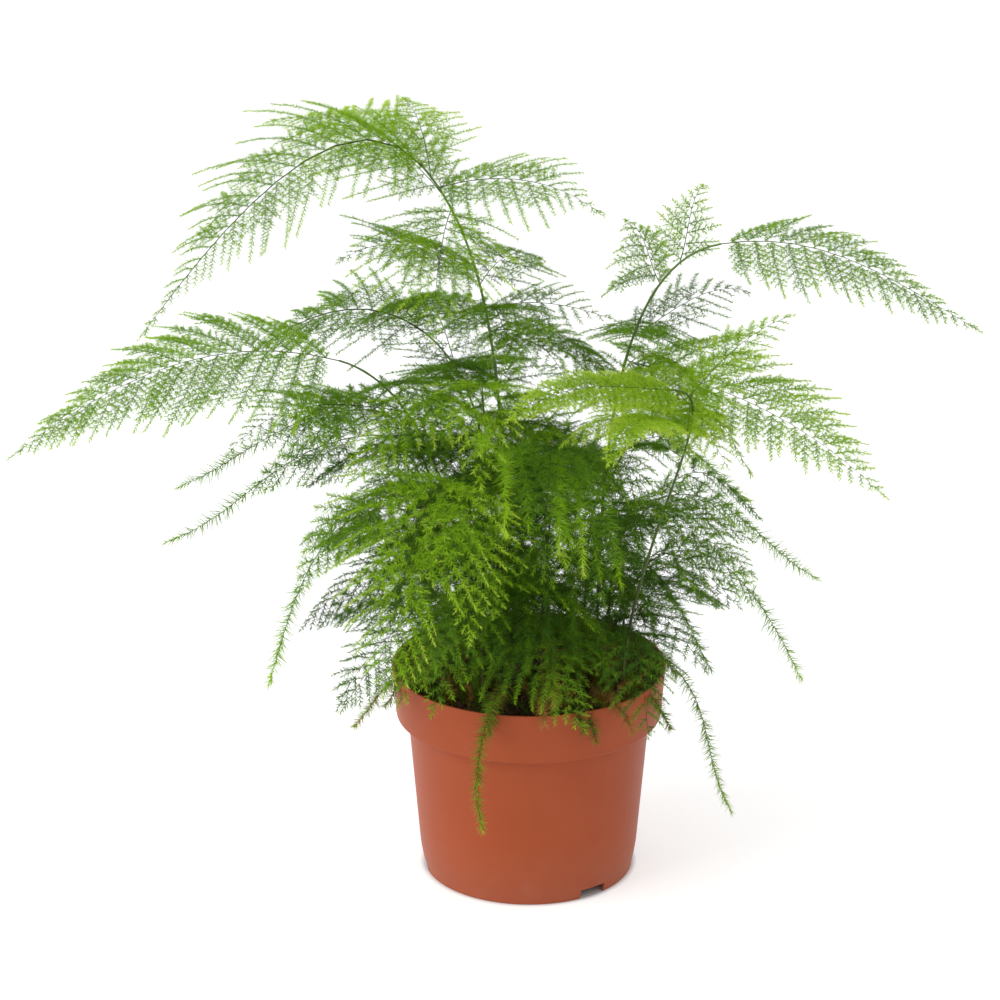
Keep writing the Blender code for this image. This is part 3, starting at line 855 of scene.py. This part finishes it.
def rounded(corners, arc_points=5):
    """The outline with each corner turned into a short arc."""
    points = []
    for index, (radius, height, rounding) in enumerate(corners):
        corner = np.array((radius, height))
        if rounding == 0.0:
            points.append(corner)
            continue
        start, end = (corner + unit(np.array(corners[beside][:2]) - corner) * rounding
                      for beside in (index - 1, index + 1))
        share = np.linspace(0.0, 1.0, arc_points)[:, None]
        rest = 1.0 - share
        points += list(rest * rest * start + 2.0 * rest * share * corner + share * share * end)
    return points


def add_cutter(size, place, turn):
    """A box, in mm, that cuts one drain opening."""
    shape = bmesh.new()
    bmesh.ops.create_cube(shape, size=MM, matrix=Matrix.Diagonal((*size, 1.0)))
    cutter = link_object("drain_cutter", shape_mesh("drain_cutter", shape))
    cutter.location = place * MM
    cutter.rotation_euler = (0.0, 0.0, turn)
    return cutter


def cut_openings(mesh, cutters):
    """The mesh with every cutter's box cut out of it; uses the cutters up."""
    part = link_object("uncut", mesh)
    for cutter in cutters:
        cut = part.modifiers.new("cut", "BOOLEAN")
        cut.operation = "DIFFERENCE"
        cut.object = cutter
        cut.solver = "EXACT"
    bpy.context.view_layer.update()
    worked = part.evaluated_get(bpy.context.evaluated_depsgraph_get())
    opened = bpy.data.meshes.new_from_object(worked)
    for used in (part, *cutters):
        bpy.data.meshes.remove(used.data)
    return opened


FOOT_NOTCH = (8.0, 13.0, 8.6)  # mm outwards, sideways and up, as is the slot's
FLOOR_SLOT = (11.0, 9.0, 4.8)
FLOOR_SLOT_RADIUS = 36.5
FLOOR_SLOT_LIFT = 0.6


def make_pot():
    """The moulded pot with rounded edges, drain notches in its foot and slots in its floor."""
    rings = [[(x, y, height * MM) for x, y in circle_places(radius * MM, POT_SIDES)]
             for radius, height in rounded(pot_corners())]
    cutters = []
    for position in range(DRAIN_POSITIONS):
        if position == BLIND_DRAIN:
            continue
        turn = FIRST_DRAIN_ANGLE + 2.0 * math.pi * position / DRAIN_POSITIONS
        outward = Vector(toward(turn))
        slot_place = outward * FLOOR_SLOT_RADIUS
        slot_place.z = FLOOR_HEIGHT + FLOOR_SLOT_LIFT
        cutters.append(add_cutter(FOOT_NOTCH, outward * FOOT_SKIRT_RADIUS, turn))
        cutters.append(add_cutter(FLOOR_SLOT, slot_place, turn))
    mesh = cut_openings(new_mesh("moulded_pot", *skin(rings)), cutters)
    mesh.shade_smooth()
    mesh.set_sharp_from_angle(angle=POT_CREASE)
    pot = place_piece("moulded_pot", mesh, pot_material())
    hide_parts("nursery_pot")


# ------------------------------ potting mix
CRUST_RADIUS = 57.3 * MM
CRUST_RINGS = 38
CRUST_SIDES = 160
CRUST_DEPTH = 1.0 * MM
CRUST_MIDDLE_DEPTH = 4.0 * MM
LUMPS_RADIUS = 55.3 * MM
CRUMBS = 420
BARK_BITS = 46
MOSS_SHOOTS = 380
MOSS_PATCHES = 48.0  # how closely its patches and the bare gaps between them follow
MOSS_GAP = 0.10
MOSS_REACH = 53.0 * MM  # from the axis to its outermost feet
MOSS_TIP_REACH = 55.0 * MM
MOSS_HEIGHTS = (8.0, 17.0)
MOSS_CLIMB, MOSS_DROOP = 70.0, -20.0
MOSS_TONES = (0.25, 0.65)
DRY_MOSS = 0.5


def crust_height(x, y):
    """The rough top of the potting mix, a little proud of the root ball's smooth dome."""
    place = Vector((x, y, 0.0))
    rough = 1.5 * noise.fractal(place * 150.0, 0.8, 2.1, 5) + 1.1 * noise.noise(place * 55.0)
    from_edge = min(1.0, max(0.0, CRUST_RADIUS - math.hypot(x, y)) / (4.0 * MM))
    return soil_height(x, y) + max(0.2, 0.4 + from_edge * (1.4 + rough)) * MM


def make_crust(material):
    """A closed rough crust that lies on the root ball and reaches just into it."""
    rings = []
    for ring in range(CRUST_RINGS + 1):
        places = circle_places(CRUST_RADIUS * ring / CRUST_RINGS, CRUST_SIDES)
        rings.append([(x, y, crust_height(x, y)) for x, y in places])
    rings.append([(x, y, soil_height(x, y) - CRUST_DEPTH) for x, y, _ in rings[-1]])
    rings.append([(0.0, 0.0, soil_height(0.0, 0.0) - CRUST_MIDDLE_DEPTH)])
    mesh = new_mesh("soil_crust", *skin(rings))
    mesh.shade_smooth()
    place_piece("soil_crust", mesh, material)


def scatter_lumps(name, material, count, sizes, proportions, detail, seed):
    """Irregular closed lumps strewn over the crust, each sunk a little into it."""
    random = np.random.default_rng(seed)
    shape = bmesh.new()
    for lump in range(count):
        radius = LUMPS_RADIUS * math.sqrt(random.uniform(0.0, 1.0))
        angle = random.uniform(0.0, 2.0 * math.pi)
        x, y = radius * toward(angle)[:2]
        stretch = Vector(proportions) * random.uniform(*sizes) * MM
        turn = Matrix.Rotation(random.uniform(0.0, 2.0 * math.pi), 4, "Z")
        turn @= Matrix.Rotation(random.normal(0.0, 0.4), 4, "X")
        made = bmesh.ops.create_icosphere(shape, subdivisions=detail, radius=1.0)["verts"]
        for corner in made:
            bulge = 1.0 + 0.45 * noise.noise(corner.co * 1.7 + Vector((lump * 3.1, 0.0, 0.0)))
            corner.co = turn @ (corner.co * bulge * stretch)
            corner.co += Vector((x, y, crust_height(x, y) + 0.25 * stretch.z))
    place_piece(name, shape_mesh(name, shape), material)


def make_potting_mix():
    """Peat with crumbs and bits of bark over the root ball, whose plain solid gets peat too."""
    peat = peat_material()
    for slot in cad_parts["root_ball"].material_slots:
        slot.material = peat
    make_crust(peat)
    scatter_lumps("peat_crumbs", peat, CRUMBS, (0.7, 2.1), (1.0, 0.8, 0.65), 1, 9001)
    scatter_lumps("bark_bits", bark_material(), BARK_BITS, (1.8, 3.8), (1.0, 0.42, 0.26), 2, 9002)


def make_moss():
    """Short fuzzy shoots that cover most of the potting mix, a few of them dry."""
    growth = Growth(9100, FUZZ)
    random = growth.random
    for index in range(MOSS_SHOOTS):
        radius = MOSS_REACH * math.sqrt(random.uniform(0.16, 1.0))
        angle = index * GOLDEN_ANGLE
        x, y = radius * toward(angle)[:2]
        if noise.noise(Vector((x, y, 0.0)) * MOSS_PATCHES) > MOSS_GAP:
            continue
        start = np.array((x, y, crust_height(x, y) - 0.5 * MM))
        tip = start + random.normal(0.0, 5.0, 3) * MM
        tip[2] = start[2] + random.uniform(*MOSS_HEIGHTS) * MM
        tip[:2] *= min(1.0, MOSS_TIP_REACH / math.hypot(tip[0], tip[1]))
        growth.needle_map = DRY_MAP if random.uniform() < DRY_MOSS else NEEDLE_MAP
        grow_finger(growth, start, tip, MOSS_CLIMB, MOSS_DROOP, random.uniform(*MOSS_TONES))
    growth.make("moss_shoots")


# ------------------------------ stems and fronds
STEM_THINNER = 0.7  # the stems here over the stouter CAD stems
STEM_BURIED = 8.0 * MM
STEM_RINGS = 44
STEM_SIDES = 10
STEM_CREASE = math.radians(50.0)
SIDEWAYS = np.array((0.1, 1.0, 0.05))  # a direction in which no stem runs
JOINT_SPACING = 15.0 * MM
JOINT_SWELL = 0.22
JOINT_HALF_LENGTH = 1.6 * MM
SPUR_LENGTH = 1.3
SPUR_HALF_WIDTH = 0.4
SPUR_HALF_HEIGHT = 0.5
SPUR_DROP = 0.7  # how far it points down along its stem
SPUR_SUNK = 0.6  # where it starts, over the stem's radius
SPUR_FACES = ((0, 2, 4), (2, 1, 4), (1, 3, 4), (3, 0, 4), (0, 3, 1, 2))


def stem_girth(stem, share):
    return STEM_THINNER * stem.radius * MM * (1.0 - (1.0 - STEM_TIP_TAPER) * share)


def spur(foot, forward, outward, girth):
    """The corners of a small pointed spur on a stem's side, the point last."""
    heel = foot + outward * girth * SPUR_SUNK
    up = forward * SPUR_HALF_HEIGHT * MM
    across = np.cross(outward, forward) * SPUR_HALF_WIDTH * MM
    point = foot + outward * (girth + SPUR_LENGTH * MM) - forward * SPUR_DROP * MM
    return [heel + up, heel - up, heel + across, heel - across, point]


def make_stem(stem, material):
    """A tapering stem with slight joints, each with a small spur, as this climber has."""
    points = stem_path(stem)
    line = Line(np.concatenate((points[:1] - UP * STEM_BURIED, points)))
    marks = np.linspace(0.0, line.length, STEM_RINGS)
    to_joint = np.abs((marks / JOINT_SPACING + 0.5) % 1.0 - 0.5) * JOINT_SPACING
    swell = 1.0 + JOINT_SWELL * np.exp(-(to_joint / JOINT_HALF_LENGTH) ** 2)
    girth = stem_girth(stem, marks / line.length) * swell
    vertices, faces = skin(tube_rings(line, marks, girth, STEM_SIDES, SIDEWAYS))
    faces += [tuple(range(STEM_SIDES)), tuple(reversed(range(len(vertices))[-STEM_SIDES:]))]
    for index, mark in enumerate(np.arange(JOINT_SPACING * 1.5, line.length, JOINT_SPACING)):
        turn = index * GOLDEN_ANGLE
        forward = line.direction(mark)
        across = unit(np.cross(forward, SIDEWAYS))
        outward = across * math.cos(turn) + np.cross(across, forward) * math.sin(turn)
        faces += [tuple(len(vertices) + corner for corner in face) for face in SPUR_FACES]
        vertices += spur(line.at(mark), forward, outward, stem_girth(stem, mark / line.length))
    name = f"grown_stem_{stem.name}"
    mesh = new_mesh(name, vertices, faces)
    mesh.shade_smooth()
    mesh.set_sharp_from_angle(angle=STEM_CREASE)
    piece = place_piece(name, mesh, material)
    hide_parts(f"stem_{stem.name}")


def make_frond(frond, stem, path, seed):
    """A frond's spray, which stands for its CAD blade."""
    look = LOOKS.get(frond.name, Look())
    style = look.style or HABITS.get(stem.name, Habit()).style
    tone = TONE_LEVEL[stem.tone] if look.tone is None else look.tone
    growth = Growth(seed, style)
    start = path.at(path.at_height(frond.leaves_at * MM)) if frond.leaves_at else path.points[-1]
    points = rib_path(start, np.array(frond.tip) * MM, frond.climb, frond.droop)
    points[:, 0] -= look.bow * MM * np.sin(math.pi * np.linspace(0.0, 1.0, len(points)) ** 2)
    rib_radius = STOUT_RIB_RADIUS if style is AIRY and frond.leaves_at == 0.0 else RIB_RADIUS
    rib_radius = FINGER_RIB_RADIUS if style is DRAPE else rib_radius
    longest = min(LONGEST_BRANCH, frond.width * MM * look.reach)
    grow_spray(growth, Line(points), longest, tone, rib_radius, look)
    piece = growth.make(f"spray_{frond.name}")
    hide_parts(f"frond_{frond.name}")


UNDERGROWTH_FOOT = 104.0  # mm above the ground, as are the heights below
BUSHY_TOP = 228.0
LOW_TONE = 0.6  # a side spray's tone at the ground, over its tone at the bushy top
UNDERGROWTH_STEP = 13.0
UNDERGROWTH_REACH = (50.0, 84.0)
REACH_LOST = 0.35  # for each mm above the bushy top
UNDERGROWTH_DROP = 42.0
DROP_LOST_OVER = 40.0  # mm above the bushy top in which most of it goes
LEAST_DROP = 0.1  # what is left of it
FERN_HEAD_FOOT = 202.0
FERN_HEAD_SPACING = 0.21
FERN_HEAD_TONE = 0.78
FERN_HEAD_REACH = 0.8  # over the other side sprays', as is its drop
FERN_HEAD_DROP = 0.6
SIDE_SPRAY_CLIMB = 34.0
SIDE_SPRAY_DROOP = 25.0  # degrees, and one more for each mm of its drop
SIDE_SPRAY_WIDTH = 0.46  # its longest branch over its reach
MASS_RADIUS = 100.0
LOWEST_TIPS = ((48.0, 108.0), (72.0, 106.0), (math.inf, 97.0))  # mm: within a radius, a height


def lowest_tip(place):
    """How low a side spray's tip may hang, so that it clears the soil and the pot's rim."""
    from_axis = math.hypot(place[0], place[1]) / MM
    return next(height for radius, height in LOWEST_TIPS if from_axis < radius) * MM


def reach_to_circle(start, heading, radius):
    """How far a level heading runs from a start before it leaves a circle round the axis."""
    along = start[0] * heading[0] + start[1] * heading[1]
    inside = radius ** 2 - start[0] ** 2 - start[1] ** 2
    return math.sqrt(max(along ** 2 + inside, 0.0)) - along


def side_spray(growth, start, turn, reach, drop, tone):
    """One of the shorter sprays on a stem's side, drooping towards its tip."""
    heading = toward(turn)
    reach = min(reach, reach_to_circle(start, heading, MASS_RADIUS * MM) / MM)
    tip = start + heading * reach * MM
    tip[2] = max(start[2] - drop * MM, lowest_tip(tip))
    rib = Line(rib_path(start, tip, SIDE_SPRAY_CLIMB, SIDE_SPRAY_DROOP + drop, count=12))
    look = Look(roll=growth.random.normal(10.0, 12.0), sag=0.2)
    grow_spray(growth, rib, reach * SIDE_SPRAY_WIDTH * MM, tone, SIDE_RIB_RADIUS, look)


def undergrowth_style(stem, height):
    """Low sprays are bushy, higher ones airy, and those under the bright fern head ferny."""
    if stem.name == "front_right" and height > FERN_HEAD_FOOT:
        return FERNY
    return BUSHY if height < BUSHY_TOP else AIRY


def make_undergrowth(stem, path, seed):
    """Side sprays up a stem, each turned by the golden angle from the one below."""
    habit = HABITS.get(stem.name, Habit())
    growth = Growth(seed, BUSHY)
    random = growth.random
    turn = random.uniform(0.0, 2.0 * math.pi)
    height = UNDERGROWTH_FOOT + random.uniform(0.0, UNDERGROWTH_STEP)
    while height < stem.top[2] - habit.bare_top:
        growth.style = undergrowth_style(stem, height)
        start = path.at(path.at_height(height * MM))
        above = max(height - BUSHY_TOP, 0.0)
        reach = random.uniform(*UNDERGROWTH_REACH) - REACH_LOST * above
        drop = random.uniform(0.0, UNDERGROWTH_DROP) * max(1.0 - above / DROP_LOST_OVER, LEAST_DROP)
        brightness = LOW_TONE + (1.0 - LOW_TONE) * height / BUSHY_TOP
        tone = TONE_LEVEL[stem.tone] * brightness + random.normal(0.0, 0.03)
        if growth.style is FERNY:
            side_spray(growth, start, turn, reach * FERN_HEAD_REACH, drop * FERN_HEAD_DROP,
                       FERN_HEAD_TONE)
            closeness = FERN_HEAD_SPACING
        else:
            # habit.shade below 1 makes these sprays darker; in the middle and under the fern head
            # this is partly painted shade.
            side_spray(growth, start, turn, reach, drop, tone * habit.shade)
            closeness = habit.spacing
        turn += GOLDEN_ANGLE
        height += UNDERGROWTH_STEP * closeness * random.uniform(0.8, 1.2)
    if growth.vertices:
        growth.make(f"undergrowth_{stem.name}")


@dataclass
class Finger:
    """A short unbranched shoot that leans outwards over the rim; lengths in mm."""

    bearing: float  # degrees from +X round to +Y
    hang: float  # how far its tip is below its foot
    tone: float
    tip_radius: float = 66.0
    foot_height: float = 94.0
    dry: bool = False


FINGER_FOOT_RADIUS = 46.0
RIM_CLIMB, RIM_DROOP = 40.0, 62.0
RIM_FINGERS = [
    Finger(-70, 5, 0.20),
    Finger(-65, 10, 0.28),
    Finger(-55, 5, 0.50, tip_radius=75, dry=True),
    Finger(-85, 0, 0.62, dry=True),
    Finger(-80, 20, 0.66, tip_radius=60, foot_height=120),
    Finger(-160, 10, 0.36),
    Finger(-105, 5, 0.30),
    Finger(-30, 15, 0.34, tip_radius=70),
    Finger(20, 15, 0.30, tip_radius=70),
    Finger(100, 10, 0.34),
    Finger(135, 10, 0.30),
]
FINGER_RIB_RADIUS = 0.18 * MM
# Painted light: a finger's rib is coloured lighter than its needles to offset the shade along it.
FINGER_RIB_LIGHTER = 0.25
CURTAIN_FINGERS = 34
CURTAIN_FOOT_RADII = (14.0, 30.0)
CURTAIN_FOOT_HEIGHTS = (130.0, 185.0)
CURTAIN_TIP_RADII = (42.0, 60.0)
CURTAIN_TIP_RISE = 14.0  # above the lowest that is clear
CURTAIN_CLIMB, CURTAIN_DROOP = 25.0, 74.0
CURTAIN_TONES = (0.14, 0.46)
FRONT_FINGERS = 9
FAN_FOOT = np.array((-22.0, -42.0, 212.0))  # mm, at the fan's left end, as is the tip
FAN_TIP = np.array((-18.0, -94.0, 200.0))
FAN_FOOT_RUN = np.array((46.0, 0.0, -14.0))  # from the left end to the right
FAN_TIP_RUN = np.array((56.0, 0.0, -36.0))
FAN_CLIMB, FAN_DROOP = 20.0, 50.0
FAN_TONES = (0.44, 0.66)


def around(bearing, radius, height):
    """A place by its bearing from the pot's axis in degrees, and its radius and height in mm."""
    return (toward(math.radians(bearing)) * radius + UP * height) * MM


def grow_finger(growth, start, tip, climb, droop, tone):
    """A fuzzy finger: a thin rib with needles all along it and no branches."""
    rib = Line(rib_path(start, tip, climb, droop, count=12))
    # The rib is painted lighter than its needles, against the shade along it.
    growth.wire(rib, FINGER_RIB_RADIUS, tone + FINGER_RIB_LIGHTER, points=9)
    growth.needle_run(rib, 0.5 * MM, tone)
    growth.grow_needles()


def make_rim_fingers():
    """The few short shoots that lean over the rim; two of them are drying out."""
    growth = Growth(8100, DRAPE)
    for finger in RIM_FINGERS:
        growth.needle_map = DRY_MAP if finger.dry else NEEDLE_MAP
        foot = around(finger.bearing, FINGER_FOOT_RADIUS, finger.foot_height)
        tip = around(finger.bearing, finger.tip_radius, finger.foot_height - finger.hang)
        grow_finger(growth, foot, tip, RIM_CLIMB, RIM_DROOP, finger.tone)
    growth.make("rim_fingers")


def make_curtain():
    """Long unbranched shoots that hang down all round the low middle of the plant."""
    growth = Growth(8200, FINGER)
    random = growth.random
    for index in range(CURTAIN_FINGERS):
        turn = index * GOLDEN_ANGLE + random.uniform(-0.2, 0.2)
        outward = toward(turn)
        start = outward * random.uniform(*CURTAIN_FOOT_RADII) * MM
        start[2] = random.uniform(*CURTAIN_FOOT_HEIGHTS) * MM
        tip = outward * random.uniform(*CURTAIN_TIP_RADII) * MM
        tip[2] = lowest_tip(tip) + random.uniform(0.0, CURTAIN_TIP_RISE) * MM
        grow_finger(growth, start, tip, CURTAIN_CLIMB, CURTAIN_DROOP,
                    random.uniform(*CURTAIN_TONES))
    growth.make("hanging_curtain")


def make_front_fingers():
    """A fan of bright fingers in front of the dark middle, from the left round to the right."""
    growth = Growth(8300, FINGER)
    random = growth.random
    for share in np.linspace(0.0, 1.0, FRONT_FINGERS):
        start = FAN_FOOT + FAN_FOOT_RUN * share + random.normal(0.0, 4.0, 3)
        tip = FAN_TIP + FAN_TIP_RUN * share + random.normal(0.0, 7.0, 3)
        grow_finger(growth, start * MM, tip * MM, FAN_CLIMB, FAN_DROOP,
                    random.uniform(*FAN_TONES))
    growth.make("front_fingers")


def make_shoots():
    bark = stem_material()
    for number, stem in enumerate(SHOOTS):
        make_stem(stem, bark)
        path = Line(stem_path(stem, 60))
        for index, frond in enumerate(stem.fronds):
            make_frond(frond, stem, path, 100 * number + index)
        make_undergrowth(stem, path, 5000 + number)


# ------------------------------ stage
FLOOR_REACH = 8.0
FLOOR_GREY = 0.80
FLOOR_GLOW = 0.48  # what the floor adds, for the camera only, to look white
GLOW_FROM = 45.8 * MM  # from the pot's axis
GLOW_IN_FULL = 48.5 * MM
SKY_STRENGTH = 0.76
SOFTBOX_SIZE = 1.2
SOFTBOX_ENERGY = 15.0
SOFTBOX_PLACE = (-1.35, -0.7, 1.2)
SOFTBOX_AIM = Vector((0.0, 0.0, 0.15))
CAMERA_ELEVATION = math.radians(19.9)
CAMERA_DISTANCE = 1.5
CAMERA_TARGET = np.array((-12.65, 0.0, 170.7)) * MM
CAMERA_LENS = 125.3


def floor_material():
    """Matt white, which for the camera also glows a little, though not under the pot."""
    nodes = Nodes("white_floor")
    lit = nodes.add("ShaderNodeBsdfDiffuse", Color=(FLOOR_GREY, FLOOR_GREY, FLOOR_GREY, 1.0))
    path = nodes.add("ShaderNodeLightPath").outputs
    seen = nodes.math("MAXIMUM", path["Is Camera Ray"], path["Is Glossy Ray"])
    seen = nodes.math("MAXIMUM", seen, path["Is Transmission Ray"])
    from_axis = nodes.add("ShaderNodeVectorMath", {"operation": "LENGTH"}, Vector=nodes.place())
    clear_of_pot = nodes.add("ShaderNodeMapRange", Value=from_axis.outputs["Value"],
                             From_Min=GLOW_FROM, From_Max=GLOW_IN_FULL).outputs["Result"]
    glow = nodes.math("MULTIPLY", seen, nodes.math("MULTIPLY", clear_of_pot, FLOOR_GLOW))
    white = nodes.add("ShaderNodeEmission", Color=(1.0, 1.0, 1.0, 1.0), Strength=glow)
    return nodes.join("ShaderNodeAddShader", lit, white)


def make_stage():
    """A white floor that keeps a soft shadow, plain light all round and a soft key light."""
    corners = [(x * FLOOR_REACH, y * FLOOR_REACH, 0.0)
               for x, y in ((-1, -1), (1, -1), (1, 1), (-1, 1))]
    floor = link_object("floor", new_mesh("floor", corners, [(0, 1, 2, 3)]))
    floor.data.materials.append(floor_material())

    world = bpy.data.worlds.new("plain_studio")
    world.use_nodes = True
    sky = world.node_tree.nodes["Background"].inputs
    sky["Color"].default_value = (1.0, 1.0, 1.0, 1.0)
    sky["Strength"].default_value = SKY_STRENGTH
    bpy.context.scene.world = world

    softbox = bpy.data.lights.new("softbox", "AREA")
    softbox.size = SOFTBOX_SIZE
    softbox.energy = SOFTBOX_ENERGY
    lamp = link_object("softbox", softbox)
    lamp.location = SOFTBOX_PLACE
    aim = SOFTBOX_AIM - lamp.location
    lamp.rotation_euler = aim.to_track_quat("-Z", "Y").to_euler()


def make_camera():
    """Looks straight at the front, about 20 degrees down, from 1.5 m, as the photo does."""
    backward = np.array((0.0, -math.cos(CAMERA_ELEVATION), math.sin(CAMERA_ELEVATION)))
    camera = link_object("camera", bpy.data.cameras.new("camera"))
    camera.data.sensor_width = 36.0
    camera.data.lens = CAMERA_LENS
    camera.location = CAMERA_TARGET + backward * CAMERA_DISTANCE
    camera.rotation_euler = (math.pi / 2.0 - CAMERA_ELEVATION, 0.0, 0.0)
    bpy.context.scene.camera = camera


def main():
    make_camera()
    make_stage()
    make_pot()
    make_potting_mix()
    make_moss()
    make_rim_fingers()
    make_curtain()
    make_front_fingers()
    make_shoots()
    bpy.context.scene.view_settings.view_transform = "Standard"


main()
